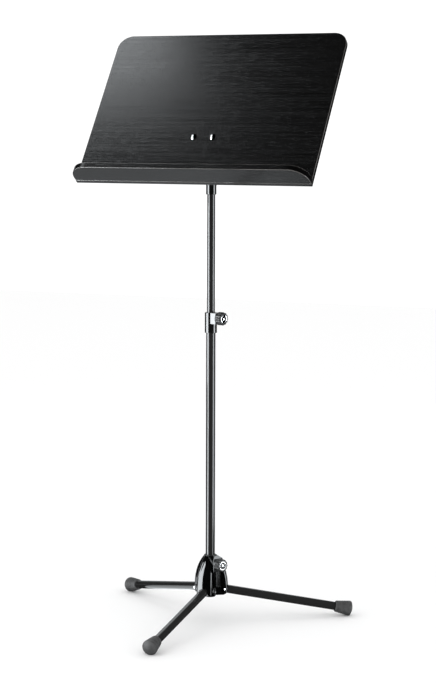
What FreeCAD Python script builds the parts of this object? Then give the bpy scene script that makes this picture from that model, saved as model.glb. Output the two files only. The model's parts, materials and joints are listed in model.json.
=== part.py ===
import FreeCAD, Part
import math
import os

# Music stand with a wooden desk on a telescopic post and a folding tripod base.
# Millimetres, +Z up. The origin is on the floor, on the axis of the post.
# The musician stands on the -Y side; the desk leans back towards +Y.

V = FreeCAD.Vector
ORIGIN = V(0, 0, 0)
X_AXIS = V(1, 0, 0)
Y_AXIS = V(0, 1, 0)
Z_AXIS = V(0, 0, 1)

# Clearances
RUN_GAP = 0.05            # radial gap of a running or sliding fit
SEAT_GAP = 0.02           # radial gap of a piece seated in its own body
FACE_GAP = 0.3            # gap between faces that meet at a stop
SIDE_GAP = 0.4            # each side of a leg in its slot
TELESCOPE_GAP = 0.3       # upper post in the bore of the lower post
SWING_GAP = 0.5           # round the inner end of a leg as it swings
OVER = 1.0                # how far a cutting tool runs past a face
ROUND = 1 - math.sqrt(0.5)    # how far the middle of a unit corner round lies in from its sides
FLAT = 0.01               # an edge whose box is thinner than this lies flat

# Posts
LOWER_POST_D = 20.0
LOWER_POST_WALL = 1.2
UPPER_POST_WALL = 1.5
UPPER_POST_LENGTH = 560.0
COLLAR_TOP_Z = 667.5
EXTENSION = 250.0         # upper post showing between the height collar and the desk socket
PLUG_FLANGE_H = 6.0
PLUG_FLANGE_RIM = 2.3     # flange beyond the post
PLUG_SPIGOT = 18.0
PLUG_EDGE_R = 2.0
GLIDE_H = 8.0
GLIDE_CHAMFER = 0.8

# Height collar and its clamp
COLLAR_LENGTH = 43.5
COLLAR_WALL = 3.0
COLLAR_SEAT = 20.0        # length of the lower post inside the collar
COLLAR_LIP = 1.5
COLLAR_RIM_R = 0.8
COLLAR_BOSS_EDGE_R = 1.2
COLLAR_BOSS_DROP = 0.4    # boss top below the collar top
COLLAR_BOSS_WIDTH = 20.0
COLLAR_BOSS_REACH = 10.5  # beyond the collar
COLLAR_BOSS_H = 23.0
COLLAR_AZIMUTH = -21.0

# Clamp screws and knobs
SCREW_D = 8.0
SCREW_IN_KNOB = 9.0
SCREW_TIP = 1.0
PAD_D = 7.6
PAD_GAP = 0.35            # between a pressure pad and its post
PAD_LENGTH = 3.3
KNOB_D = 28.0
KNOB_LENGTH = 14.5
KNOB_BACK_R = 1.0
KNOB_FACE_R = 2.0
KNOB_FLUTES = 12
FLUTE_R = 2.2
FLUTE_DEPTH = 1.1
FLUTE_START = 2.5         # plain rim at the back of the knob
CAP_D = 19.0
CAP_SEAT = 1.2
CAP_RIM = 0.2             # cap edge proud of the knob face
CAP_BEAD = 0.7            # round bead along the edge of the cap
CAP_BEAD_IN = 0.7         # inner side of the bead, as a share of the cap's radius
CAP_BUTTON = 0.4          # round button in the middle, as a share of the radius
CAP_BUTTON_H = 0.9
KNOB_STANDOFF = 0.5

# Base casting
CASTING_TOP_Z = 142.0
PIVOT_Z = 68.0
BUSH_WALL = 1.1
HUB_WALL = 2.2
EAR_WALL = 8.4
EAR_DROP = 11.0           # casting below the leg pivots
EAR_REACH = 11.6          # casting beyond the leg pivots
EAR_CORNER_R = 15.0
SHOULDER_R = 13.0         # lobe radius at the top of the casting
SHOULDER_HALF = 9.0       # lobe half width at the top of the casting
LOBE_POWER = 3.0
LOBE_EDGE_R = 7.0
LOBE_CROWN = 1.5
LOBE_SECTIONS = 9
BASE_BOSS_WIDTH = 24.0
BASE_BOSS_R = 30.0
BASE_BOSS_H = 31.0
BASE_BOSS_SLOPE = 3.0
BASE_BOSS_EDGE_R = 2.5
BOSS_WEB_WIDTH = 14.0     # web that carries the boss between two lobes
BOSS_WEB_Z = 74.0         # lower end of that web
BASE_CLAMP_Z = 125.6
TOP_BUSH_H = 9.0
LOW_BUSH_H = 18.0
BUSH_FLANGE_H = 1.2
BUSH_FLANGE_IN = 1.0      # flange inside the rim of the hub

# Legs and feet
LEG_AZIMUTHS = {"front": -90.0, "right": 30.0, "left": 150.0}
LEG_D = 18.0
LEG_WALL = 1.2
LEG_END = 8.0             # tube beyond its pivot
LEG_SPREAD_R = 305.0      # post axis to the rim of a foot
FOLD_SPLAY = 1.5          # legs stay this far off vertical when folded, degrees
SPACER_WALL = 1.45
LEG_BOLT_D = 6.0
BOLT_HEAD_D = 10.5
BOLT_HEAD_H = 3.3
BOLT_HEAD_RIM = 1.4
BOLT_SOCKET_FLATS = 4.0
BOLT_SOCKET_DEPTH = 2.2
BOLT_SPOT = 0.6           # depth of the spot face under a bolt head or nut
THREAD_SHOWING = 1.5      # screw past its nut
NUT_H = 5.0
NUT_FLATS = 10.0
NUT_CHAMFER = 0.8
FOOT_D = 32.8
FOOT_MOUTH_D = 24.0
FOOT_SLEEVE = 31.0        # foot from its mouth to its rim
FOOT_NOSE = 7.5           # domed end beyond the rim
FOOT_NOSE_RIM = 4.6       # where the rounded rim meets the dome
FOOT_NOSE_IN = 4.2
FOOT_SOLE = 2.9           # tube end inside the rim of the foot
FOOT_LIP = 0.8
FOOT_FLAT = 0.8           # depth of the worn flat on the floor
FOOT_RIBS = 4
RIB_PITCH = 5.2
RIB_DEPTH = 0.7
RIB_START = 7.0
RIB_HALF = 0.9
RIB_FLOOR_HALF = 0.3
RIB_LEAN = 0.15

# Desk socket and tilt joint
SOCKET_WALL = 2.45
SOCKET_LENGTH = 74.5
SOCKET_ROOF = 12.0
SOCKET_SCREW_UP = 22.5
SOCKET_SCREW_D = 6.0
SOCKET_SCREW_HEAD_D = 10.0
SOCKET_BOSS_D = 12.0
SOCKET_BOSS_REACH = 5.0
SOCKET_KEY_FLATS = 5.0
SOCKET_SCREW_EDGE_R = 0.6
LUG_ROOT = 5.0            # lug sunk into the round part of the socket
LUG_RISE = 16.0           # tilt axis above the round part of the socket
LUG_THICK = 12.0
DISC_D = 18.0
DISC_THICK = 1.5
DISC_GAP = 0.1
TILT_BOLT_D = 8.0
TILT_HEAD_FLATS = 13.0
TILT_HEAD_H = 5.3
TILT_HEAD_CHAMFER = 1.0
INSERT_D = 12.0
INSERT_LENGTH = 9.5
WASHER_D = 16.0
WASHER_T = 1.6

# Desk
DESK_WIDTH = 530.0
DESK_HEIGHT = 380.0
DESK_THICK = 10.0
DESK_LEAN = 35.3          # degrees from vertical
DESK_CORNER_R = 32.0
DESK_EDGE_R = 1.4
AXIS_UP_DESK = 113.5      # tilt axis above the lower edge of the desk
AXIS_TO_BACK = 43.0       # tilt axis to the back of the desk
LEDGE_DEPTH = 49.0
LEDGE_THICK = 13.0
LEDGE_CORNER_R = 40.0
LEDGE_SCREWS = 5
LEDGE_SCREW_PITCH = 110.0
LEDGE_SCREW_D = 4.0
LEDGE_SCREW_BITE = 24.0
BRACKET_T = 2.5
BRACKET_WIDTH = 66.0
BRACKET_HEIGHT = 54.0
BRACKET_CORNER_R = 8.0
BRACKET_EAR_T = 3.0
BRACKET_EAR_R = 12.0
BRACKET_EAR_IN = 2.0      # ear inside the top and bottom of the plate
BRACKET_WELD = 0.5        # ear sunk into the plate
DESK_SCREW_PITCH = 43.0
DESK_SCREW_D = 6.0
DESK_SCREW_HEAD_D = 13.5
DESK_SCREW_HEAD_H = 3.6
DESK_SCREW_HEAD_RIM = 0.6
DESK_WASHER_D = 14.0

# Worked out from the values above
lower_r = LOWER_POST_D / 2
lower_bore_r = lower_r - LOWER_POST_WALL
upper_r = lower_bore_r - TELESCOPE_GAP
upper_bore_r = upper_r - UPPER_POST_WALL
collar_r = lower_r + COLLAR_WALL
collar_boss_r = collar_r + COLLAR_BOSS_REACH
collar_bottom_z = COLLAR_TOP_Z - COLLAR_LENGTH
lower_top_z = collar_bottom_z + COLLAR_SEAT
height_clamp_z = COLLAR_TOP_Z - COLLAR_BOSS_H / 2
socket_r = upper_r + RUN_GAP + SOCKET_WALL
socket_bottom_z = COLLAR_TOP_Z + EXTENSION
socket_top_z = socket_bottom_z + SOCKET_LENGTH
socket_roof_z = socket_top_z - SOCKET_ROOF
upper_top_z = socket_roof_z - FACE_GAP
upper_bottom_z = upper_top_z - UPPER_POST_LENGTH
tilt_z = socket_top_z + LUG_RISE

leg_r = LEG_D / 2
foot_r = FOOT_D / 2
bush_r = lower_r + RUN_GAP + BUSH_WALL
hub_r = bush_r + HUB_WALL
swing_r = math.hypot(LEG_END, leg_r) + SWING_GAP
pivot_r = hub_r + swing_r
lobe_r = pivot_r + EAR_REACH
slot_half = leg_r + SIDE_GAP
lobe_half = slot_half + EAR_WALL
bolt_seat = lobe_half - BOLT_SPOT
casting_bottom_z = PIVOT_Z - EAR_DROP
lower_bottom_z = casting_bottom_z - FACE_GAP
base_boss_azimuth = (LEG_AZIMUTHS["front"] + LEG_AZIMUTHS["right"]) / 2
far = 2 * lobe_r


def leg_slope():
    """Angle of a leg below the horizontal, with the rim of its foot on the floor."""
    run = LEG_SPREAD_R - pivot_r
    slope = 0.0
    for _ in range(30):
        rim_z = foot_r * math.cos(slope) - FOOT_FLAT
        slope = math.atan2(PIVOT_Z - rim_z, run)
    return slope


slope = leg_slope()
slope_deg = math.degrees(slope)
rim_x = (LEG_SPREAD_R - pivot_r) / math.cos(slope)
spacer_r = LEG_BOLT_D / 2 + RUN_GAP + SPACER_WALL


def rod(radius, z0, z1):
    return Part.makeCylinder(radius, z1 - z0, V(0, 0, z0), Z_AXIS)


def pipe(outer, inner, z0, z1):
    return rod(outer, z0, z1).cut(rod(inner, z0 - OVER, z1 + OVER))


def cross_rod(radius, x, z, half):
    """Cylinder along Y through (x, z)."""
    return Part.makeCylinder(radius, 2 * half, V(x, -half, z), Y_AXIS)


def box(x0, x1, y0, y1, z0, z1):
    return Part.makeBox(x1 - x0, y1 - y0, z1 - z0, V(x0, y0, z0))


def hexagon(flats, z0, z1):
    corner = flats / math.sqrt(3)
    points = [V(corner * math.cos(math.radians(60 * k)), corner * math.sin(math.radians(60 * k)), z0)
              for k in range(7)]
    return Part.Face(Part.makePolygon(points)).extrude(V(0, 0, z1 - z0))


def turned(edges):
    """Solid turned about Z from edges in the XZ plane that close on the axis."""
    return Part.Face(Part.Wire(edges)).revolve(ORIGIN, Z_AXIS, 360)


def line(x0, z0, x1, z1):
    return Part.LineSegment(V(x0, 0, z0), V(x1, 0, z1)).toShape()


def arc(x0, z0, x1, z1, x2, z2):
    return Part.Arc(V(x0, 0, z0), V(x1, 0, z1), V(x2, 0, z2)).toShape()


def dome(r, z, height):
    """Arc from (r, z) to the axis on a sphere centred on the axis."""
    sphere_r = (r * r + height * height) / (2 * height)
    half = math.asin(r / sphere_r) / 2
    centre = z + height - sphere_r
    return arc(r, z, sphere_r * math.sin(half), centre + sphere_r * math.cos(half), 0, z + height)


def domed_head(r, rim, height):
    """Round screw head on z = 0, with a straight rim and a domed top."""
    return turned([
        line(0, 0, r, 0),
        line(r, 0, r, rim),
        dome(r, rim, height - rim),
        line(0, height, 0, 0)])


def bevelled_hexagon(flats, height, chamfer):
    """Hexagon on z = 0 whose top corners are turned off."""
    corner = flats / math.sqrt(3)
    return hexagon(flats, 0, height).common(turned([
        line(0, 0, corner, 0),
        line(corner, 0, corner, height - chamfer),
        line(corner, height - chamfer, corner - 2 * chamfer, height),
        line(corner - 2 * chamfer, height, 0, height),
        line(0, height, 0, 0)]))


def eased(shape, radius, axis):
    """Round every edge that lies flat in a plane across the given axis."""
    edges = [e for e in shape.Edges if getattr(e.BoundBox, axis + "Length") < FLAT]
    return shape.makeFillet(radius, edges)


def spin(shape, azimuth):
    out = shape.copy()
    out.rotate(ORIGIN, Z_AXIS, azimuth)
    return out


def radial(shape, start_r, azimuth, height):
    """Lay a piece made along +Z out along a radius of the post."""
    out = shape.copy()
    out.rotate(ORIGIN, Y_AXIS, 90)
    out.translate(V(start_r, 0, height))
    return spin(out, azimuth)


def leaned(shape):
    """Place a piece made on an upright desk, whose tilt axis is the local X axis."""
    out = shape.copy()
    out.rotate(ORIGIN, X_AXIS, -DESK_LEAN)
    out.translate(V(0, 0, tilt_z))
    return out


def along_x(shape, x0):
    """Lay a piece made along +Z along the tilt axis, from x0 outwards."""
    out = shape.copy()
    out.rotate(ORIGIN, Y_AXIS, 90)
    out.translate(V(x0, 0, 0))
    return leaned(out)


def along_leg(shape, azimuth):
    """Place a piece made on a level leg that points to +X from its pivot."""
    out = shape.copy()
    out.rotate(ORIGIN, Y_AXIS, slope_deg)
    out.translate(V(pivot_r, 0, PIVOT_Z))
    return spin(out, azimuth)


# Knobs and clamp screws, made along +Z with the back of the knob at z = 0

def knob(bore_r, bore_depth):
    r = KNOB_D / 2
    back = KNOB_BACK_R
    face = KNOB_FACE_R
    round_back = back * ROUND
    round_face = face * ROUND
    body = turned([
        line(0, 0, r - back, 0),
        arc(r - back, 0, r - round_back, round_back, r, back),
        line(r, back, r, KNOB_LENGTH - face),
        arc(r, KNOB_LENGTH - face, r - round_face, KNOB_LENGTH - round_face, r - face, KNOB_LENGTH),
        line(r - face, KNOB_LENGTH, 0, KNOB_LENGTH),
        line(0, KNOB_LENGTH, 0, 0)])
    for k in range(KNOB_FLUTES):
        flute = Part.makeCylinder(FLUTE_R, KNOB_LENGTH, V(r + FLUTE_R - FLUTE_DEPTH, 0, FLUTE_START), Z_AXIS)
        body = body.cut(spin(flute, 360 * k / KNOB_FLUTES))
    body = body.cut(rod(CAP_D / 2, KNOB_LENGTH - CAP_SEAT, KNOB_LENGTH + OVER))
    return body.cut(rod(bore_r, -OVER, bore_depth))


def knob_cap():
    """Plated cap: a round bead, a flat dish inside it and a domed button."""
    r = CAP_D / 2 - SEAT_GAP
    seat = KNOB_LENGTH - CAP_SEAT
    rim = KNOB_LENGTH + CAP_RIM
    inner = r * CAP_BEAD_IN
    button = r * CAP_BUTTON
    return turned([
        line(0, seat, r, seat),
        line(r, seat, r, rim),
        arc(r, rim, (r + inner) / 2, rim + CAP_BEAD, inner, rim),
        line(inner, rim, button, rim),
        dome(button, rim, CAP_BUTTON_H),
        line(0, rim + CAP_BUTTON_H, 0, seat)])


def clamp_screw(reach):
    """Screw from its tip, at z = -reach, into the knob."""
    r = SCREW_D / 2
    return turned([
        line(0, -reach, r - SCREW_TIP, -reach),
        line(r - SCREW_TIP, -reach, r, SCREW_TIP - reach),
        line(r, SCREW_TIP - reach, r, SCREW_IN_KNOB),
        line(r, SCREW_IN_KNOB, 0, SCREW_IN_KNOB),
        line(0, SCREW_IN_KNOB, 0, -reach)])


def clamp_set(prefix, post_r, boss_r, azimuth, height):
    """Knob, cap, screw and pressure pad of one post clamp."""
    knob_r = boss_r + KNOB_STANDOFF
    pad_r = post_r + PAD_GAP
    tip_r = pad_r + PAD_LENGTH + FACE_GAP
    screw_bore = SCREW_D / 2 + SEAT_GAP
    return {
        prefix + "_knob": radial(knob(screw_bore, SCREW_IN_KNOB + SEAT_GAP), knob_r, azimuth, height),
        prefix + "_knob_cap": radial(knob_cap(), knob_r, azimuth, height),
        prefix + "_clamp_screw": radial(clamp_screw(knob_r - tip_r), knob_r, azimuth, height),
        prefix + "_pressure_pad": radial(rod(PAD_D / 2, 0, PAD_LENGTH), pad_r, azimuth, height)}


# Base casting

def lobe_section(z):
    """Outline of one lobe at height z, open at the post axis."""
    rise = ((z - casting_bottom_z) / (CASTING_TOP_Z - casting_bottom_z)) ** LOBE_POWER
    r = lobe_r - (lobe_r - SHOULDER_R) * rise
    h = lobe_half - (lobe_half - SHOULDER_HALF) * rise
    e = LOBE_EDGE_R
    k = e * ROUND
    edges = [
        Part.LineSegment(V(0, -h, z), V(r - e, -h, z)),
        Part.Arc(V(r - e, -h, z), V(r - k, -h + k, z), V(r, -h + e, z)),
        Part.Arc(V(r, -h + e, z), V(r + LOBE_CROWN, 0, z), V(r, h - e, z)),
        Part.Arc(V(r, h - e, z), V(r - k, h - k, z), V(r - e, h, z)),
        Part.LineSegment(V(r - e, h, z), V(0, h, z)),
        Part.LineSegment(V(0, h, z), V(0, -h, z))]
    return Part.Wire([edge.toShape() for edge in edges])


def lobe():
    step = (CASTING_TOP_Z - casting_bottom_z) / (LOBE_SECTIONS - 1)
    wires = [lobe_section(casting_bottom_z + k * step) for k in range(LOBE_SECTIONS)]
    body = Part.makeLoft(wires, True, False)
    corner_x = lobe_r - EAR_CORNER_R + LOBE_CROWN
    corner_z = casting_bottom_z + EAR_CORNER_R
    corner = box(corner_x, far, -far, far, casting_bottom_z - OVER, corner_z)
    return body.cut(corner.cut(cross_rod(EAR_CORNER_R, corner_x, corner_z, far)))


def leg_slot():
    """Room for a leg at rest, and for its swing down to the folded position."""
    below = box(hub_r, far, -slot_half, slot_half, casting_bottom_z - OVER, PIVOT_Z)
    swing = cross_rod(swing_r, pivot_r, PIVOT_Z, slot_half)
    channel = Part.makeCylinder(slot_half, far, ORIGIN, X_AXIS)
    channel.rotate(ORIGIN, Y_AXIS, slope_deg)
    channel.translate(V(pivot_r, 0, PIVOT_Z))
    return below.fuse(swing).fuse(channel)


def base_boss():
    half = BASE_BOSS_WIDTH / 2
    top = BASE_CLAMP_Z + BASE_BOSS_H / 2
    low = BASE_CLAMP_Z - BASE_BOSS_H / 2
    points = [V(0, -half, low), V(BASE_BOSS_R, -half, low), V(BASE_BOSS_R, -half, top - BASE_BOSS_SLOPE),
              V(SHOULDER_R, -half, top), V(0, -half, top), V(0, -half, low)]
    block = Part.Face(Part.makePolygon(points)).extrude(V(0, BASE_BOSS_WIDTH, 0))
    outer = [e for e in block.Edges if e.BoundBox.XMin > BASE_BOSS_R - FLAT]
    block = block.makeFillet(BASE_BOSS_EDGE_R, outer)
    web_half = BOSS_WEB_WIDTH / 2
    web = box(0, BASE_BOSS_R - BASE_BOSS_EDGE_R / 2, -web_half, web_half, BOSS_WEB_Z, BASE_CLAMP_Z)
    web_outer = [e for e in web.Edges if e.BoundBox.XMin > web_half and e.BoundBox.ZMin < BASE_CLAMP_Z - FLAT]
    return spin(block.fuse(web.makeFillet(BASE_BOSS_EDGE_R, web_outer)), base_boss_azimuth)


def wedge():
    """Third of the plan round the +X axis, so that a lobe's cuts stay on that lobe."""
    half = far * math.sqrt(3)
    points = [ORIGIN, V(far, -half, 0), V(far, half, 0), ORIGIN]
    return Part.Face(Part.makePolygon(points)).extrude(V(0, 0, CASTING_TOP_Z))


def spot_faces():
    """Flat seats for a bolt head and its nut on the two sides of a lobe."""
    keep = box(0, far, -2 * far, 2 * far, PIVOT_Z - EAR_DROP, PIVOT_Z + EAR_DROP).common(wedge())
    faces = []
    for side in (-1, 1):
        start = V(pivot_r, side * bolt_seat, PIVOT_Z)
        spot = Part.makeCylinder(BOLT_HEAD_D / 2 + OVER, far, start, V(0, side, 0))
        faces.append(spot.common(keep))
    return faces


def base_casting():
    body = rod(hub_r, casting_bottom_z, CASTING_TOP_Z)
    for azimuth in LEG_AZIMUTHS.values():
        body = body.fuse(spin(lobe(), azimuth))
    body = body.fuse(base_boss())
    for azimuth in LEG_AZIMUTHS.values():
        body = body.cut(spin(leg_slot(), azimuth))
        hole = cross_rod(LEG_BOLT_D / 2 + SEAT_GAP, pivot_r, PIVOT_Z, lobe_half + OVER)
        body = body.cut(spin(hole, azimuth))
        for spot in spot_faces():
            body = body.cut(spin(spot, azimuth))
    body = body.cut(rod(bush_r, casting_bottom_z - OVER, CASTING_TOP_Z + OVER))
    screw_hole = radial(rod(SCREW_D / 2 + RUN_GAP, 0, far), lower_r, base_boss_azimuth, BASE_CLAMP_Z)
    return body.cut(screw_hole).removeSplitter()


def base_bush_top():
    body = rod(bush_r - SEAT_GAP, CASTING_TOP_Z - TOP_BUSH_H, CASTING_TOP_Z)
    flange = rod(hub_r - BUSH_FLANGE_IN, CASTING_TOP_Z, CASTING_TOP_Z + BUSH_FLANGE_H)
    return body.fuse(flange).cut(rod(lower_r + RUN_GAP, 0, 2 * CASTING_TOP_Z))


def base_bush_low():
    return pipe(bush_r - SEAT_GAP, lower_r + RUN_GAP, casting_bottom_z, casting_bottom_z + LOW_BUSH_H)


# Legs

def leg_tube():
    length = rim_x - FOOT_SOLE - FACE_GAP / 3 + LEG_END
    tube = Part.makeCylinder(leg_r, length, V(-LEG_END, 0, 0), X_AXIS)
    bore = Part.makeCylinder(leg_r - LEG_WALL, length + 2 * OVER, V(-LEG_END - OVER, 0, 0), X_AXIS)
    tube = tube.cut(bore)
    return tube.cut(cross_rod(spacer_r + RUN_GAP, 0, 0, LEG_D))


def rubber_foot(azimuth):
    mouth = -FOOT_SLEEVE
    mouth_r = FOOT_MOUTH_D / 2
    flare = (foot_r - mouth_r) / FOOT_SLEEVE
    edges = []
    at = (leg_r + SEAT_GAP, mouth)
    outline = [(mouth_r - FOOT_LIP, mouth), (mouth_r, mouth + FOOT_LIP)]
    for k in range(FOOT_RIBS):
        z = mouth + RIB_START + k * RIB_PITCH
        r = mouth_r + flare * (z - mouth)
        outline.append((r - RIB_LEAN, z - RIB_HALF))
        outline.append((r - RIB_DEPTH, z - RIB_FLOOR_HALF))
        outline.append((r - RIB_DEPTH, z + RIB_FLOOR_HALF))
        outline.append((r + RIB_LEAN, z + RIB_HALF))
    outline.append((foot_r, 0))
    for point in outline:
        edges.append(line(at[0], at[1], point[0], point[1]))
        at = point
    nose_r = foot_r - FOOT_NOSE_IN
    bend_r = foot_r - FOOT_NOSE_IN * ROUND
    edges.append(arc(foot_r, 0, bend_r, FOOT_NOSE_RIM * (1 - ROUND), nose_r, FOOT_NOSE_RIM))
    edges.append(dome(nose_r, FOOT_NOSE_RIM, FOOT_NOSE - FOOT_NOSE_RIM))
    edges.append(line(0, FOOT_NOSE, 0, -FOOT_SOLE))
    edges.append(line(0, -FOOT_SOLE, leg_r + SEAT_GAP, -FOOT_SOLE))
    edges.append(line(leg_r + SEAT_GAP, -FOOT_SOLE, leg_r + SEAT_GAP, mouth))
    foot = turned(edges)
    foot.rotate(ORIGIN, Y_AXIS, 90)
    foot.translate(V(rim_x, 0, 0))
    foot = along_leg(foot, azimuth)
    reach = 2 * LEG_SPREAD_R
    return foot.cut(box(-reach, reach, -reach, reach, -FOOT_D, 0))


def leg_bolt():
    """Bolt along -Y local, its head on the outside of one ear and its thread out of the other."""
    head = domed_head(BOLT_HEAD_D / 2, BOLT_HEAD_RIM, BOLT_HEAD_H)
    head = head.cut(hexagon(BOLT_SOCKET_FLATS, BOLT_HEAD_H - BOLT_SOCKET_DEPTH, BOLT_HEAD_H + OVER))
    shank = rod(LEG_BOLT_D / 2, -2 * bolt_seat - NUT_H - THREAD_SHOWING, 0)
    bolt = head.fuse(shank)
    bolt.rotate(ORIGIN, X_AXIS, 90)
    bolt.translate(V(pivot_r, -bolt_seat, PIVOT_Z))
    return bolt


def leg_nut():
    nut = bevelled_hexagon(NUT_FLATS, NUT_H, NUT_CHAMFER)
    nut = nut.cut(rod(LEG_BOLT_D / 2 + SEAT_GAP, -OVER, NUT_H + OVER))
    nut.rotate(ORIGIN, X_AXIS, -90)
    nut.translate(V(pivot_r, bolt_seat, PIVOT_Z))
    return nut


def leg_spacer():
    body = cross_rod(spacer_r, pivot_r, PIVOT_Z, slot_half)
    return body.cut(cross_rod(LEG_BOLT_D / 2 + SEAT_GAP, pivot_r, PIVOT_Z, slot_half + OVER))


def three(shape):
    return Part.makeCompound([spin(shape, azimuth) for azimuth in LEG_AZIMUTHS.values()])


# Posts

def lower_post():
    return pipe(lower_r, lower_bore_r, lower_bottom_z, lower_top_z)


def lower_post_plug():
    rim = lower_r + PLUG_FLANGE_RIM
    low = lower_bottom_z - PLUG_FLANGE_H
    e = PLUG_EDGE_R
    flange = turned([
        line(0, low, rim - e, low),
        arc(rim - e, low, rim - e * ROUND, low + e * ROUND, rim, low + e),
        line(rim, low + e, rim, lower_bottom_z),
        line(rim, lower_bottom_z, 0, lower_bottom_z),
        line(0, lower_bottom_z, 0, low)])
    return flange.fuse(rod(lower_bore_r - SEAT_GAP, lower_bottom_z, lower_bottom_z + PLUG_SPIGOT))


def height_collar():
    half = COLLAR_BOSS_WIDTH / 2
    body = rod(collar_r, collar_bottom_z, COLLAR_TOP_Z)
    body = eased(body, COLLAR_RIM_R, "Z")
    top = COLLAR_TOP_Z - COLLAR_BOSS_DROP
    block = box(0, collar_boss_r, -half, half, top - COLLAR_BOSS_H, top)
    outer = [e for e in block.Edges if e.BoundBox.XMin > collar_boss_r - FLAT]
    body = body.fuse(spin(block.makeFillet(COLLAR_BOSS_EDGE_R, outer), COLLAR_AZIMUTH))
    body = body.cut(rod(lower_r + SEAT_GAP, collar_bottom_z - OVER, COLLAR_TOP_Z - COLLAR_LIP))
    body = body.cut(rod(upper_r + TELESCOPE_GAP, collar_bottom_z, COLLAR_TOP_Z + OVER))
    hole = radial(rod(SCREW_D / 2 + RUN_GAP, 0, far), upper_r, COLLAR_AZIMUTH, height_clamp_z)
    return body.cut(hole)


def height_bush():
    body = pipe(lower_r, upper_r + RUN_GAP, lower_top_z + SEAT_GAP, COLLAR_TOP_Z - COLLAR_LIP - SEAT_GAP)
    window = radial(rod(PAD_D / 2 + RUN_GAP, 0, lower_r), 0, COLLAR_AZIMUTH, height_clamp_z)
    return body.cut(window)


def upper_post():
    return pipe(upper_r, upper_bore_r, upper_bottom_z, upper_top_z)


def upper_post_glide():
    ring = rod(lower_bore_r - RUN_GAP, upper_bottom_z - GLIDE_H, upper_bottom_z)
    lower_rim = [e for e in ring.Edges if e.BoundBox.ZMax < upper_bottom_z - GLIDE_H + FLAT]
    ring = ring.makeChamfer(GLIDE_CHAMFER, lower_rim)
    return ring.fuse(rod(upper_bore_r - SEAT_GAP, upper_bottom_z, upper_bottom_z + 2 * GLIDE_H))


# Desk socket and tilt joint

def desk_socket():
    body = rod(socket_r, socket_bottom_z, socket_top_z)
    body = eased(body, COLLAR_RIM_R, "Z")
    half = LUG_THICK / 2
    lug_r = math.sqrt(socket_r ** 2 - half ** 2)
    body = body.fuse(box(-half, half, -lug_r, lug_r, socket_top_z - LUG_ROOT, tilt_z))
    body = body.fuse(Part.makeCylinder(lug_r, LUG_THICK, V(-half, 0, tilt_z), X_AXIS))
    screw_z = socket_bottom_z + SOCKET_SCREW_UP
    boss = Part.makeCylinder(SOCKET_BOSS_D / 2, socket_r + SOCKET_BOSS_REACH, V(0, 0, screw_z), Y_AXIS)
    body = body.fuse(boss)
    body = body.cut(rod(upper_r + RUN_GAP, socket_bottom_z - OVER, socket_roof_z))
    body = body.cut(Part.makeCylinder(SOCKET_SCREW_D / 2 + SEAT_GAP, 2 * socket_r, V(0, 0, screw_z), Y_AXIS))
    axle = Part.makeCylinder(TILT_BOLT_D / 2 + RUN_GAP, 2 * LUG_THICK, V(-LUG_THICK, 0, tilt_z), X_AXIS)
    return body.cut(axle)


def socket_screw():
    screw_z = socket_bottom_z + SOCKET_SCREW_UP
    head_y = socket_r + SOCKET_BOSS_REACH
    tip_y = upper_r + PAD_GAP
    shank = rod(SOCKET_SCREW_D / 2, tip_y - head_y, 0)
    head = rod(SOCKET_SCREW_HEAD_D / 2, 0, SOCKET_SCREW_D)
    rims = [e for e in head.Edges if e.BoundBox.ZMin > SOCKET_SCREW_D - FLAT]
    head = head.makeFillet(SOCKET_SCREW_EDGE_R, rims)
    head = head.cut(hexagon(SOCKET_KEY_FLATS, SOCKET_SCREW_D / 2, SOCKET_SCREW_D + OVER))
    screw = head.fuse(shank)
    screw.rotate(ORIGIN, X_AXIS, -90)
    screw.translate(V(0, head_y, screw_z))
    return screw


def friction_discs():
    half = LUG_THICK / 2
    disc = pipe(DISC_D / 2, TILT_BOLT_D / 2 + RUN_GAP, half, half + DISC_THICK)
    other = pipe(DISC_D / 2, TILT_BOLT_D / 2 + RUN_GAP, -half - DISC_THICK, -half)
    return Part.makeCompound([along_x(disc, 0), along_x(other, 0)])


ear_in = LUG_THICK / 2 + DISC_THICK + DISC_GAP
ear_out = ear_in + BRACKET_EAR_T


def tilt_bolt():
    end = ear_out + KNOB_STANDOFF + INSERT_LENGTH - OVER
    start = -ear_out - WASHER_T
    head = bevelled_hexagon(TILT_HEAD_FLATS, TILT_HEAD_H, TILT_HEAD_CHAMFER)
    head.rotate(ORIGIN, X_AXIS, 180)
    head.translate(V(0, 0, start))
    return along_x(rod(TILT_BOLT_D / 2, start, end).fuse(head), 0)


def tilt_washer():
    return along_x(pipe(WASHER_D / 2, TILT_BOLT_D / 2 + SEAT_GAP, -ear_out - WASHER_T, -ear_out), 0)


def tilt_knob_set():
    start = ear_out + KNOB_STANDOFF
    insert = pipe(INSERT_D / 2, TILT_BOLT_D / 2 + RUN_GAP, 0, INSERT_LENGTH)
    return {
        "tilt_knob": along_x(knob(INSERT_D / 2 + SEAT_GAP, INSERT_LENGTH + SEAT_GAP), start),
        "tilt_knob_cap": along_x(knob_cap(), start),
        "tilt_knob_insert": along_x(insert, start)}


# Desk, made upright round its tilt axis: front towards -Y, up towards +Z

back_y = -AXIS_TO_BACK
front_y = back_y - DESK_THICK
low_z = -AXIS_UP_DESK
top_z = low_z + DESK_HEIGHT
ledge_z = low_z + LEDGE_THICK / 2


def desk_bore(radius, x, z, y0, y1):
    return Part.makeCylinder(radius, y1 - y0, V(x, y0, z), Y_AXIS)


def ledge_screw_places():
    first = -LEDGE_SCREW_PITCH * (LEDGE_SCREWS - 1) / 2
    return [first + k * LEDGE_SCREW_PITCH for k in range(LEDGE_SCREWS)]


def desk_screw_places():
    return [-DESK_SCREW_PITCH / 2, DESK_SCREW_PITCH / 2]


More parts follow.
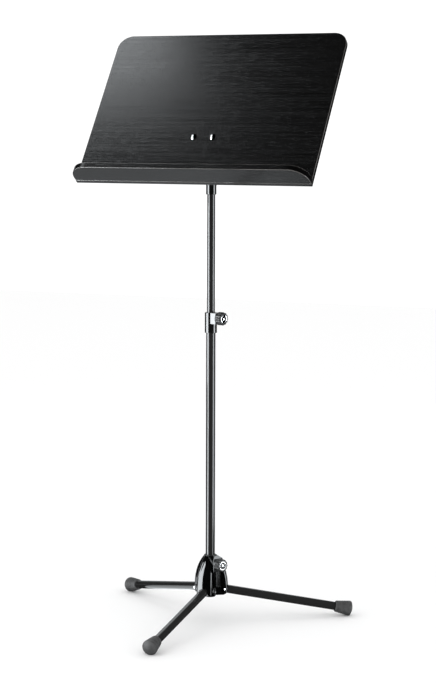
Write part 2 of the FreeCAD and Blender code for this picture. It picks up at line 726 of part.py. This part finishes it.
def desk_panel():
    w = DESK_WIDTH / 2
    r = DESK_CORNER_R
    k = r * ROUND
    outline = Part.Wire([
        line(-w, low_z, w, low_z),
        line(w, low_z, w, top_z - r),
        arc(w, top_z - r, w - k, top_z - k, w - r, top_z),
        line(w - r, top_z, r - w, top_z),
        arc(r - w, top_z, k - w, top_z - k, -w, top_z - r),
        line(-w, top_z - r, -w, low_z)])
    panel = Part.Face(outline).extrude(V(0, DESK_THICK, 0))
    panel.translate(V(0, front_y, 0))
    panel = eased(panel, DESK_EDGE_R, "Y")
    for x in desk_screw_places():
        panel = panel.cut(desk_bore(DESK_SCREW_D / 2 + SEAT_GAP, x, 0, front_y - OVER, back_y + OVER))
    for x in ledge_screw_places():
        panel = panel.cut(desk_bore(LEDGE_SCREW_D / 2 + SEAT_GAP, x, ledge_z, front_y - OVER, back_y + OVER))
        cone = Part.makeCone(LEDGE_SCREW_D / 2, LEDGE_SCREW_D, LEDGE_SCREW_D / 2,
                             V(x, back_y - LEDGE_SCREW_D / 2, ledge_z), Y_AXIS)
        panel = panel.cut(cone)
    return leaned(panel)


def desk_ledge():
    w = DESK_WIDTH / 2
    r = LEDGE_CORNER_R
    k = r * ROUND
    lip_y = front_y - LEDGE_DEPTH
    sides = [
        Part.LineSegment(V(-w, front_y, low_z), V(-w, lip_y + r, low_z)),
        Part.Arc(V(-w, lip_y + r, low_z), V(k - w, lip_y + k, low_z), V(r - w, lip_y, low_z)),
        Part.LineSegment(V(r - w, lip_y, low_z), V(w - r, lip_y, low_z)),
        Part.Arc(V(w - r, lip_y, low_z), V(w - k, lip_y + k, low_z), V(w, lip_y + r, low_z)),
        Part.LineSegment(V(w, lip_y + r, low_z), V(w, front_y, low_z)),
        Part.LineSegment(V(w, front_y, low_z), V(-w, front_y, low_z))]
    ledge = Part.Face(Part.Wire([side.toShape() for side in sides])).extrude(V(0, 0, LEDGE_THICK))
    ledge = eased(ledge, DESK_EDGE_R, "Z")
    for x in ledge_screw_places():
        hole = desk_bore(LEDGE_SCREW_D / 2 + SEAT_GAP, x, ledge_z, front_y - LEDGE_SCREW_BITE, front_y + OVER)
        ledge = ledge.cut(hole)
    return leaned(ledge)


def ledge_screws():
    r = LEDGE_SCREW_D / 2
    screws = []
    for x in ledge_screw_places():
        shank = desk_bore(r, x, ledge_z, front_y - LEDGE_SCREW_BITE + OVER, back_y - r)
        head = Part.makeCone(r - SEAT_GAP, 2 * r - SEAT_GAP, r, V(x, back_y - r, ledge_z), Y_AXIS)
        screws.append(leaned(shank.fuse(head)))
    return Part.makeCompound(screws)


def desk_bracket():
    w = BRACKET_WIDTH / 2
    h = BRACKET_HEIGHT / 2
    plate_y = back_y + BRACKET_T
    plate = box(-w, w, back_y, plate_y, -h, h)
    upright = [e for e in plate.Edges if e.BoundBox.YLength > BRACKET_T / 2]
    plate = plate.makeFillet(BRACKET_CORNER_R, upright)
    root_y = plate_y - BRACKET_WELD
    root_z = h - BRACKET_EAR_IN
    ear_edges = [
        Part.LineSegment(V(0, root_y, -root_z), V(0, root_y, root_z)),
        Part.LineSegment(V(0, root_y, root_z), V(0, 0, BRACKET_EAR_R)),
        Part.Arc(V(0, 0, BRACKET_EAR_R), V(0, BRACKET_EAR_R, 0), V(0, 0, -BRACKET_EAR_R)),
        Part.LineSegment(V(0, 0, -BRACKET_EAR_R), V(0, root_y, -root_z))]
    ear = Part.Face(Part.Wire([edge.toShape() for edge in ear_edges])).extrude(V(BRACKET_EAR_T, 0, 0))
    for x in (ear_in, -ear_out):
        side = ear.copy()
        side.translate(V(x, 0, 0))
        plate = plate.fuse(side)
    axle = Part.makeCylinder(TILT_BOLT_D / 2 + SEAT_GAP, 4 * ear_out, V(-2 * ear_out, 0, 0), X_AXIS)
    plate = plate.cut(axle)
    for x in desk_screw_places():
        plate = plate.cut(desk_bore(DESK_SCREW_D / 2 + SEAT_GAP, x, 0, back_y - OVER, plate_y + OVER))
    return leaned(plate)


def desk_screws():
    head = domed_head(DESK_SCREW_HEAD_D / 2, DESK_SCREW_HEAD_RIM, DESK_SCREW_HEAD_H)
    reach = DESK_THICK + BRACKET_T + WASHER_T + NUT_H + THREAD_SHOWING
    screw = head.fuse(rod(DESK_SCREW_D / 2, -reach, 0))
    screw.rotate(ORIGIN, X_AXIS, 90)
    screws = []
    for x in desk_screw_places():
        one = screw.copy()
        one.translate(V(x, front_y, 0))
        screws.append(leaned(one))
    return Part.makeCompound(screws)


def desk_washers():
    y0 = back_y + BRACKET_T
    washers = []
    for x in desk_screw_places():
        ring = desk_bore(DESK_WASHER_D / 2, x, 0, y0, y0 + WASHER_T)
        hole = desk_bore(DESK_SCREW_D / 2 + SEAT_GAP, x, 0, y0 - OVER, y0 + WASHER_T + OVER)
        washers.append(leaned(ring.cut(hole)))
    return Part.makeCompound(washers)


def desk_nuts():
    y0 = back_y + BRACKET_T + WASHER_T
    nut = bevelled_hexagon(NUT_FLATS, NUT_H, NUT_CHAMFER)
    nut = nut.cut(rod(DESK_SCREW_D / 2 + SEAT_GAP, -OVER, NUT_H + OVER))
    nut.rotate(ORIGIN, X_AXIS, -90)
    nuts = []
    for x in desk_screw_places():
        one = nut.copy()
        one.translate(V(x, y0, 0))
        nuts.append(leaned(one))
    return Part.makeCompound(nuts)


def all_nodes():
    nodes = {
        "base_casting": base_casting(),
        "base_bush_top": base_bush_top(),
        "base_bush_low": base_bush_low(),
        "leg_bolts": three(leg_bolt()),
        "leg_nuts": three(leg_nut()),
        "leg_spacers": three(leg_spacer()),
        "lower_post": lower_post(),
        "lower_post_plug": lower_post_plug(),
        "height_collar": height_collar(),
        "height_bush": height_bush(),
        "upper_post": upper_post(),
        "upper_post_glide": upper_post_glide(),
        "desk_socket": desk_socket(),
        "socket_screw": socket_screw(),
        "friction_discs": friction_discs(),
        "tilt_bolt": tilt_bolt(),
        "tilt_washer": tilt_washer(),
        "desk_bracket": desk_bracket(),
        "desk_screws": desk_screws(),
        "desk_washers": desk_washers(),
        "desk_nuts": desk_nuts(),
        "desk_panel": desk_panel(),
        "desk_ledge": desk_ledge(),
        "ledge_screws": ledge_screws()}
    nodes.update(clamp_set("base", lower_r, BASE_BOSS_R, base_boss_azimuth, BASE_CLAMP_Z))
    nodes.update(clamp_set("height", upper_r, collar_boss_r, COLLAR_AZIMUTH, height_clamp_z))
    nodes.update(tilt_knob_set())
    for name, azimuth in LEG_AZIMUTHS.items():
        nodes["leg_tube_" + name] = along_leg(leg_tube(), azimuth)
        nodes["rubber_foot_" + name] = rubber_foot(azimuth)
    return nodes


def main():
    os.makedirs("parts", exist_ok=True)
    for name, shape in all_nodes().items():
        shape.exportStep("parts/" + name + ".step")
        print(name, "solids", len(shape.Solids), "valid", shape.isValid(), "volume", round(shape.Volume, 1))
    print("leg pivots: radius", round(pivot_r, 3), "height", PIVOT_Z, "slope", round(slope_deg, 3))
    print("fold range", round(90 - slope_deg - FOLD_SPLAY, 2), "degrees")
    print("tilt axis height", tilt_z, "socket bottom", socket_bottom_z, "upper post bottom", upper_bottom_z)


main()
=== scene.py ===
import bpy
import bmesh
import json
import math
from mathutils import Matrix, Vector


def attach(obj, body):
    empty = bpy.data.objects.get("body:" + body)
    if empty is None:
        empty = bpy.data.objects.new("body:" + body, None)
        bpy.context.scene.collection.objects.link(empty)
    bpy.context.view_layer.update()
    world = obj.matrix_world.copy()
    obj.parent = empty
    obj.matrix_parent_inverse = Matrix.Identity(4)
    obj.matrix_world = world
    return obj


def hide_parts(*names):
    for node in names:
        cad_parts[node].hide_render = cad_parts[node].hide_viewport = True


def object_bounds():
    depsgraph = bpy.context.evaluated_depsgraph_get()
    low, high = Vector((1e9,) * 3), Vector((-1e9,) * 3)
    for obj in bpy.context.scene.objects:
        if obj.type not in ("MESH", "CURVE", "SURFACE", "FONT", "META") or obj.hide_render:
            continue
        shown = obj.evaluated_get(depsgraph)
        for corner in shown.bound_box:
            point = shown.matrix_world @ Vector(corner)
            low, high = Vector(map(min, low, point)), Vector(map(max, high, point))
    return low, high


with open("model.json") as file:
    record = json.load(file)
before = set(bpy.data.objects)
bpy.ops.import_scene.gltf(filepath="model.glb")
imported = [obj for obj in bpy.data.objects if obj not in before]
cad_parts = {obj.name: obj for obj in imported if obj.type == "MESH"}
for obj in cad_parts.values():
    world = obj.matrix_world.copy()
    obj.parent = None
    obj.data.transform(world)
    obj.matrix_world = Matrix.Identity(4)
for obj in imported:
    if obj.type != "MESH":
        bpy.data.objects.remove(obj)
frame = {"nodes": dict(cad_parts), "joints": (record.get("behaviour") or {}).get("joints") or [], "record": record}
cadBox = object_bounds()
nodes = frame["nodes"]
print("frame loaded:", len(nodes), "nodes")

lowest, highest = cadBox
joints = {joint["name"]: joint for joint in frame["joints"]}

# camera: degrees, metres, lens in mm
cameraSet = {
    "azimuth": 23.2,
    "elevation": 6.71,
    "roll": 0.19,
    "distance": 3.983,
    "belowMiddle": 0.0345,   # aim point under the middle of the stand
    "aside": 0.0153,         # aim point to the right of the post
    "lens": 96.98,
    "sensor": 36,
    "farClip": 50,
}


def addCamera(view):
    angles = ("azimuth", "elevation", "roll")
    azimuth, elevation, roll = (math.radians(view[key]) for key in angles)
    back = Vector((
        math.sin(azimuth) * math.cos(elevation),
        -math.cos(azimuth) * math.cos(elevation),
        math.sin(elevation)))
    right = Vector((math.cos(azimuth), math.sin(azimuth), 0))
    up = back.cross(right)
    turned = right * math.cos(roll) + up * math.sin(roll)
    upright = up * math.cos(roll) - right * math.sin(roll)
    middle = (lowest.z + highest.z) / 2
    aim = right * view["aside"] + Vector((0, 0, middle - view["belowMiddle"]))
    data = bpy.data.cameras.new("camera")
    data.lens = view["lens"]
    data.sensor_width = view["sensor"]
    data.clip_end = view["farClip"]
    camera = bpy.data.objects.new("camera", data)
    bpy.context.scene.collection.objects.link(camera)
    spot = aim + back * view["distance"]
    camera.matrix_world = Matrix((
        (turned.x, upright.x, back.x, spot.x),
        (turned.y, upright.y, back.y, spot.y),
        (turned.z, upright.z, back.z, spot.z),
        (0, 0, 0, 1)))
    bpy.context.scene.camera = camera


addCamera(cameraSet)
print("camera placed")

# studio: a pale floor, a white surround, soft boxes round the stand and cards on the floor
# angles count from the camera, left is negative; cards lie right of and beyond the post
studioSet = {
    "floorSize": 14.0,
    "floorColour": (0.95, 0.95, 0.95, 1),
    "floorRoughness": 0.9,
    "floorDrop": 0.0003,     # keeps the floor just under the feet
    "aimTop": 0.8,           # soft boxes aim no higher than this share of the stand
    "surround": (1.0, 1.0, 1.0, 1),
    "surroundStrength": 1.12,
    "boxColour": (0.93, 0.97, 1.0),
    "softBoxes": [
        {"name": "leftStrip", "angle": -67, "reach": 2.3, "height": 0.75,
         "size": (1.2, 2.9), "glow": 15},
        {"name": "leftHigh", "angle": -90, "reach": 2.3, "height": 0.5,
         "size": (0.5, 0.6), "glow": 16},
        {"name": "rightStrip", "angle": 71, "reach": 2.3, "height": 0.3,
         "size": (1.15, 1.2), "glow": 9},
        {"name": "rightLow", "angle": 66, "reach": 2.3, "height": -0.6,
         "size": (0.5, 0.6), "glow": 8},
        {"name": "boardLight", "angle": -108, "reach": 1.25, "height": 2.62,
         "size": (0.8, 0.8), "glow": 6},
        {"name": "backGlow", "angle": -178, "reach": 2.6, "height": 2.2,
         "size": (2.4, 1.4), "glow": 1.6},
        {"name": "backFill", "angle": 180, "reach": 3.2, "height": 0.8,
         "size": (4.5, 2.6), "glow": 0.5},
    ],
    "cards": [
        {"name": "leftCard", "right": (-0.5, -0.05), "beyond": (-0.02, 0.2), "glow": 2.6},
        {"name": "backCard", "right": (-1.0, 0.3), "beyond": (0.3, 1.3), "glow": 0.75},
    ],
}


def addGlow(name, size, glow):
    # an area light that shows only in gloss
    data = bpy.data.lights.new(name, "AREA")
    data.shape = "RECTANGLE"
    data.size, data.size_y = size
    data.energy = math.pi * glow * size[0] * size[1]
    data.color = studioSet["boxColour"]
    lamp = bpy.data.objects.new(name, data)
    bpy.context.scene.collection.objects.link(lamp)
    lamp.visible_camera = False
    lamp.visible_diffuse = False
    return lamp


def softBox(box):
    bearing = math.radians(cameraSet["azimuth"] + box["angle"])
    spot = Vector((math.sin(bearing), -math.cos(bearing), 0)) * box["reach"]
    spot.z = box["height"]
    lamp = addGlow(box["name"], box["size"], box["glow"])
    aim = Vector((0, 0, min(spot.z, highest.z * studioSet["aimTop"])))
    lamp.location = spot
    lamp.rotation_euler = (spot - aim).to_track_quat("Z", "Y").to_euler()


def floorCard(card):
    azimuth = math.radians(cameraSet["azimuth"])
    right = Vector((math.cos(azimuth), math.sin(azimuth), 0))
    beyond = Vector((-math.sin(azimuth), math.cos(azimuth), 0))
    size = [card[way][1] - card[way][0] for way in ("right", "beyond")]
    lamp = addGlow(card["name"], size, card["glow"])
    lamp.location = right * sum(card["right"]) / 2 + beyond * sum(card["beyond"]) / 2
    lamp.rotation_euler = Matrix((right, -beyond, (0, 0, -1))).transposed().to_euler()


def buildStudio(studio):
    half = studio["floorSize"] / 2
    mesh = bpy.data.meshes.new("floor")
    corners = [(-half, -half, 0), (half, -half, 0), (half, half, 0), (-half, half, 0)]
    mesh.from_pydata(corners, [], [(0, 1, 2, 3)])
    floor = bpy.data.objects.new("floor", mesh)
    bpy.context.scene.collection.objects.link(floor)
    floor.location.z = -studio["floorDrop"]
    paper = bpy.data.materials.new("studioFloor")
    paper.use_nodes = True
    skin = paper.node_tree.nodes["Principled BSDF"]
    skin.inputs["Base Color"].default_value = studio["floorColour"]
    skin.inputs["Roughness"].default_value = studio["floorRoughness"]
    mesh.materials.append(paper)
    floor.visible_glossy = False
    floor.visible_shadow = False
    world = bpy.data.worlds.new("surround")
    bpy.context.scene.world = world
    world.use_nodes = True
    sky = world.node_tree.nodes["Background"]
    sky.inputs["Color"].default_value = studio["surround"]
    sky.inputs["Strength"].default_value = studio["surroundStrength"]
    world.cycles_visibility.glossy = False
    for box in studio["softBoxes"]:
        softBox(box)
    for card in studio["cards"]:
        floorCard(card)
    bpy.context.scene.view_settings.view_transform = "Standard"


buildStudio(studioSet)
print("studio lit")


# small helpers for shader trees
def tree(name):
    material = bpy.data.materials.new(name)
    material.use_nodes = True
    return material, material.node_tree, material.node_tree.nodes["Principled BSDF"]


def add(net, kind, **inputs):
    node = net.nodes.new("ShaderNode" + kind)
    for key, value in inputs.items():
        if isinstance(value, bpy.types.NodeSocket):
            net.links.new(value, node.inputs[key])
        else:
            node.inputs[key].default_value = value
    return node


def coords(net, scale=(1, 1, 1), turn=(0, 0, 0)):
    # object coordinates in metres, turned first and then scaled
    source = net.nodes.new("ShaderNodeTexCoord")
    first = add(net, "Mapping", Vector=source.outputs["Object"], Rotation=turn)
    return add(net, "Mapping", Vector=first.outputs["Vector"], Scale=scale).outputs["Vector"]


def noise(net, vector, scale, detail=3.0, roughness=0.55):
    node = add(net, "TexNoise", Vector=vector, Scale=scale, Detail=detail, Roughness=roughness)
    return node.outputs["Fac"]


def ramp(net, fac, low, high, lowColour, highColour):
    node = net.nodes.new("ShaderNodeValToRGB")
    net.links.new(fac, node.inputs["Fac"])
    node.color_ramp.elements[0].position = low
    node.color_ramp.elements[1].position = high
    node.color_ramp.elements[0].color = lowColour
    node.color_ramp.elements[1].color = highColour
    return node.outputs["Color"]


def spread(net, fac, low, high, least=0.0, most=1.0):
    node = add(net, "MapRange", Value=fac)
    ends = {"From Min": low, "From Max": high, "To Min": least, "To Max": most}
    for key, value in ends.items():
        node.inputs[key].default_value = value
    return node.outputs["Result"]


def bump(net, height, strength, distance, under=None):
    node = add(net, "Bump", Height=height, Strength=strength, Distance=distance)
    if under is not None:
        net.links.new(under, node.inputs["Normal"])
    return node.outputs["Normal"]


def times(net, first, second):
    node = add(net, "Math", Value=first)
    node.operation = "MULTIPLY"
    net.links.new(second, node.inputs[1])
    return node.outputs["Value"]


# worn edges: mask limits, then how far the patches go
wearSet = {
    "radius": 0.0004,
    "samples": 4,
    "turned": (0.985, 0.9),
    "patchiness": 60,
    "patches": (0.3, 0.55, 0.45, 1.0),
}


def rubbed(net, look=wearSet):
    # 1 along outer edges, broken up where hands and cases have rubbed them, 0 on the flats
    soft = net.nodes.new("ShaderNodeBevel")
    soft.samples = look["samples"]
    soft.inputs["Radius"].default_value = look["radius"]
    shape = net.nodes.new("ShaderNodeNewGeometry")
    turned = net.nodes.new("ShaderNodeVectorMath")
    turned.operation = "DOT_PRODUCT"
    net.links.new(soft.outputs["Normal"], turned.inputs[0])
    net.links.new(shape.outputs["Normal"], turned.inputs[1])
    edge = spread(net, turned.outputs["Value"], *look["turned"])
    patches = spread(net, noise(net, coords(net), look["patchiness"], 4), *look["patches"])
    return times(net, edge, patches)


# mask for the painted highlight on the rounded board edges
boardEdgeSet = {
    "rise": (0.12, 0.35),     # from the side of the board
    "fall": (0.97, 0.86),     # to its face
    "patchiness": 14,
    "patches": (0.3, 0.6, 0.4, 1.0),
}


def roundedEdge(net, across, look=boardEdgeSet):
    # 1 on the rounded edges of a board, where the wood takes a painted highlight; across is the way through it
    source = net.nodes.new("ShaderNodeTexCoord")
    turned = net.nodes.new("ShaderNodeVectorMath")
    turned.operation = "DOT_PRODUCT"
    net.links.new(source.outputs["Normal"], turned.inputs[0])
    turned.inputs[1].default_value = across
    size = add(net, "Math", Value=turned.outputs["Value"])
    size.operation = "ABSOLUTE"
    rise = spread(net, size.outputs["Value"], *look["rise"])
    fall = spread(net, size.outputs["Value"], *look["fall"])
    patches = spread(net, noise(net, coords(net), look["patchiness"], 5), *look["patches"])
    return times(net, times(net, rise, fall), patches)


def blendColour(net, fac, first, second):
    node = net.nodes.new("ShaderNodeMix")
    node.data_type = "RGBA"
    net.links.new(fac, node.inputs["Factor"])
    for value, socket in ((first, node.inputs[6]), (second, node.inputs[7])):
        if isinstance(value, bpy.types.NodeSocket):
            net.links.new(value, socket)
        else:
            socket.default_value = value
    return node.outputs[2]


def grey(level, warm=0.0):
    return (level * (1 + warm), level, level * (1 - warm), 1)


woodSet = {
    "dark": grey(0.0012, 0.03),
    "light": grey(0.0036, 0.05),
    "edge": grey(0.14, 0.04),    # painted highlight: a lighter colour along the rounded board edges, standing in for the light line they catch
    "satin": (0.18, 0.27),       # roughness of the lacquer, least and most
    "streak": 330,               # streaks in the lacquer, across the grain
    "figure": 3,                 # broad figure
    "fibre": 520,                # fine fibre, across the grain
    "poreScale": 2.3,            # pores are finer than the fibre by this
    "ridge": (0.22, 0.00012),    # bump strength and depth in metres
    "pore": (0.5, 0.0001),
}


def stainedWood(name, lean, across, look=woodSet):
    material, net, skin = tree(name)
    turn = (lean, 0, 0)
    broad = noise(net, coords(net, (1.2, 10, 26), turn), look["figure"], 4)
    fibre = noise(net, coords(net, (0.018, 0.7, 1), turn), look["fibre"], 5, 0.62)
    poreScale = look["fibre"] * look["poreScale"]
    pores = noise(net, coords(net, (0.035, 1, 1), turn), poreScale, 2, 0.5)
    blend = add(net, "Mix", Factor=0.5, A=broad, B=fibre)
    colour = ramp(net, blend.outputs["Result"], 0.36, 0.66, look["dark"], look["light"])
    poreMask = spread(net, pores, 0.60, 0.72)
    # the rounded edges take the lighter edge colour, a painted highlight broken into patches
    paintedEdgeHighlight = blendColour(net, roundedEdge(net, across), colour, look["edge"])
    net.links.new(paintedEdgeHighlight, skin.inputs["Base Color"])
    streaks = noise(net, coords(net, (0.014, 1, 1), turn), look["streak"], 4, 0.6)
    rough = spread(net, streaks, 0.34, 0.66, *look["satin"])
    net.links.new(rough, skin.inputs["Roughness"])
    ridges = bump(net, fibre, *look["ridge"])
    sunk = add(net, "Math", Value=poreMask)
    sunk.operation = "MULTIPLY"
    sunk.inputs[1].default_value = -1.0
    relief = bump(net, sunk.outputs["Value"], *look["pore"], ridges)
    net.links.new(relief, skin.inputs["Normal"])
    skin.inputs["Specular IOR Level"].default_value = 0.5
    return material


def glossBlack(name, base, roughness=(0.05, 0.1), peel=0.02, along=(1, 1, 1), coat=0.0):
    material, net, skin = tree(name)
    worn = blendColour(net, rubbed(net), grey(base), grey(base * 2 + 0.03))
    net.links.new(worn, skin.inputs["Base Color"])
    skin.inputs["Specular IOR Level"].default_value = 0.5
    skin.inputs["Coat Weight"].default_value = coat
    skin.inputs["Coat Roughness"].default_value = 0.04
    spots = noise(net, coords(net), 55, 4)
    rubs = noise(net, coords(net, along), 900, 3)
    both = add(net, "Mix", Factor=0.4, A=spots, B=rubs)
    rough = spread(net, both.outputs["Result"], 0.35, 0.7, *roughness)
    net.links.new(rough, skin.inputs["Roughness"])
    orangePeel = noise(net, coords(net), 420, 2)
    net.links.new(bump(net, orangePeel, peel, 0.00005), skin.inputs["Normal"])
    return material


def moulded(name, base, roughness, grainScale=1900, strength=0.25, specular=0.5):
    material, net, skin = tree(name)
    clouds = noise(net, coords(net), 120, 3)
    low, high = grey(base * 0.8), grey(base * 1.25)
    net.links.new(ramp(net, clouds, 0.35, 0.68, low, high), skin.inputs["Base Color"])
    grain = noise(net, coords(net), grainScale, 2, 0.5)
    rough = spread(net, grain, 0.3, 0.7, roughness - 0.06, roughness + 0.08)
    net.links.new(rough, skin.inputs["Roughness"])
    net.links.new(bump(net, grain, strength, 0.0002), skin.inputs["Normal"])
    skin.inputs["Specular IOR Level"].default_value = specular
    return material


def plated(name, colour, roughness, brushed=(1, 1, 1), strength=0.05):
    material, net, skin = tree(name)
    skin.inputs["Metallic"].default_value = 1.0
    clouds = noise(net, coords(net), 260, 3)
    low = tuple(0.82 * part for part in colour) + (1,)
    net.links.new(ramp(net, clouds, 0.3, 0.7, low, colour + (1,)), skin.inputs["Base Color"])
    lines = noise(net, coords(net, brushed), 2600, 2)
    rough = spread(net, lines, 0.3, 0.7, roughness * 0.7, roughness * 1.4)
    net.links.new(rough, skin.inputs["Roughness"])
    net.links.new(bump(net, lines, strength, 0.0001), skin.inputs["Normal"])
    return material


def boardLean():
    broad = max(nodes["desk_panel"].data.polygons, key=lambda face: face.area).normal
    return math.atan2(abs(broad.z), abs(broad.y))


lean = boardLean()
boardWay = (0, -math.cos(lean), math.sin(lean))
ledgeWay = (0, math.sin(lean), math.cos(lean))
wood = stainedWood("blackStainedWood", lean, boardWay)
ledgeWood = stainedWood("ledgeWood", lean, ledgeWay)
tubePaint = glossBlack("tubePaint", base=0.02, along=(1, 1, 0.02))
castPaint = glossBlack("castingPaint", base=0.002, peel=0.03)
collarPlastic = glossBlack("collarPlastic", base=0.007, roughness=(0.1, 0.18), peel=0.04, coat=0.3)
knobPlastic = moulded("knobPlastic", 0.012, 0.38)
nylon = moulded("nylon", 0.018, 0.5)
footRubber = moulded("footRubber", 0.06, 0.62, grainScale=1300, strength=0.45, specular=0.4)
chrome = plated("brightPlate", (0.82, 0.82, 0.83), 0.05, strength=0.02)
zinc = plated("zincPlate", (0.56, 0.57, 0.58), 0.32, brushed=(1, 1, 0.1))
bracketPaint = glossBlack("bracketPaint", base=0.008, roughness=(0.28, 0.4), peel=0.12)

finishes = {
    "black_stained_wood": wood,
    "gloss_black_tube": tubePaint,
    "gloss_black_casting": castPaint,
    "black_collar": collarPlastic,
    "black_knob_plastic": knobPlastic,
    "bright_chrome": chrome,
    "zinc_steel": zinc,
    "black_bracket_steel": bracketPaint,
    "black_nylon": nylon,
    "foot_rubber": footRubber,
}
for part in frame["record"]["subparts"]:
    mesh = nodes[part["node"]].data
    mesh.materials.clear()
    mesh.materials.append(finishes[part["material_slot"]])
nodes["desk_ledge"].data.materials[0] = ledgeWood
print("finishes on", len(nodes), "nodes")

# clamp knobs: a moulded grip with soft flutes, in place of each plain one; metres
knobSet = {
    "flutes": 12,
    "fluteDepth": 0.0012,
    "fluteSharp": 1.6,        # higher makes the flutes narrower
    "ringHeight": 0.0024,     # plain ring at the back
    "backRound": 0.0010,
    "faceRound": 0.0024,
    "capGap": 0.0001,
    "capSeat": 0.0012,
    "boreShare": 0.35,        # inner ring of the closed back face, as a share of the radius
    "fluteRise": 0.0016,      # the flutes run out over this length
    "around": 192,
    "gripSteps": 14,
    "backSteps": 5,
    "faceSteps": 6,
    "sharpAngle": 40,         # degrees
}
hair = 1e-6


def solidFromRings(name, rings):
    # rings of points, each as long as the last; both ends are closed with one flat face
    form = bmesh.new()
    loops = [[form.verts.new(point) for point in ring] for ring in rings]
    for first, second in zip(loops, loops[1:]):
        for k in range(len(first)):
            nextK = (k + 1) % len(first)
            form.faces.new((first[k], first[nextK], second[nextK], second[k]))
    form.faces.new(reversed(loops[0]))
    form.faces.new(loops[-1])
    bmesh.ops.recalc_face_normals(form, faces=form.faces)
    mesh = bpy.data.meshes.new(name)
    form.to_mesh(mesh)
    form.free()
    piece = bpy.data.objects.new(name, mesh)
    bpy.context.scene.collection.objects.link(piece)
    return piece


def quarter(start, end, steps, outward):
    # points of a quarter round from one (height, radius) to the other
    height, width = end[0] - start[0], end[1] - start[1]
    points = []
    for k in range(1, steps + 1):
        turn = math.pi / 2 * k / steps
        fast, slow = math.sin(turn), 1 - math.cos(turn)
        rise, spreadOut = (slow, fast) if outward else (fast, slow)
        points.append((start[0] + height * rise, start[1] + width * spreadOut))
    return points


def widest(node, spot, axis):
    # largest distance of a node's corners from the axis
    away = [corner.co - spot for corner in nodes[node].data.vertices]
    return max((reach - axis * reach.dot(axis)).length for reach in away)


def knobGrip(name, node, capNode, jointName, body, look=knobSet):
    joint = joints[jointName]
    axis = Vector(joint["axis"]).normalized()
    spot = Vector(joint["pos_m"])
    aside = axis.orthogonal().normalized()
    over = axis.cross(aside)
    heights = [(corner.co - spot).dot(axis) for corner in nodes[node].data.vertices]
    back, face = min(heights), max(heights)
    radius = widest(node, spot, axis)
    capRadius = widest(capNode, spot, axis) + look["capGap"]
    backRound, faceRound = look["backRound"], look["faceRound"]
    profile = [(back, radius * look["boreShare"]), (back, radius - backRound)]
    profile += quarter(profile[-1], (back + backRound, radius), look["backSteps"], True)
    ringTop = back + look["ringHeight"]
    grip = face - faceRound
    profile += [(ringTop, radius)]
    steps = look["gripSteps"]
    profile += [(ringTop + (grip - ringTop) * k / steps, radius) for k in range(1, steps + 1)]
    profile += quarter(profile[-1], (face, radius - faceRound), look["faceSteps"], False)
    profile += [(face, capRadius), (face - look["capSeat"], capRadius)]
    rings = []
    for height, r in profile:
        rise = min(max((height - ringTop) / look["fluteRise"], 0), 1)
        deep = look["fluteDepth"] * rise * rise * (3 - 2 * rise)
        if r <= capRadius + hair or height <= ringTop:
            deep = 0
        ring = []
        for k in range(look["around"]):
            turn = 2 * math.pi * k / look["around"]
            cut = ((1 + math.cos(look["flutes"] * turn)) / 2) ** look["fluteSharp"]
            reach = r - deep * cut
            outward = aside * math.cos(turn) + over * math.sin(turn)
            ring.append(spot + axis * height + outward * reach)
        rings.append(ring)
    piece = solidFromRings(name, rings)
    for side in piece.data.polygons:
        side.use_smooth = True
    piece.data.set_sharp_from_angle(angle=math.radians(look["sharpAngle"]))
    piece.data.materials.append(knobPlastic)
    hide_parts(node)
    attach(piece, body)


for place in ("base", "height", "tilt"):
    knob = place + "_knob"
    knobGrip(place + "KnobGrip", knob, knob + "_cap", knob + "_turn", place + "_clamp_knob")
print("clamp knobs made")
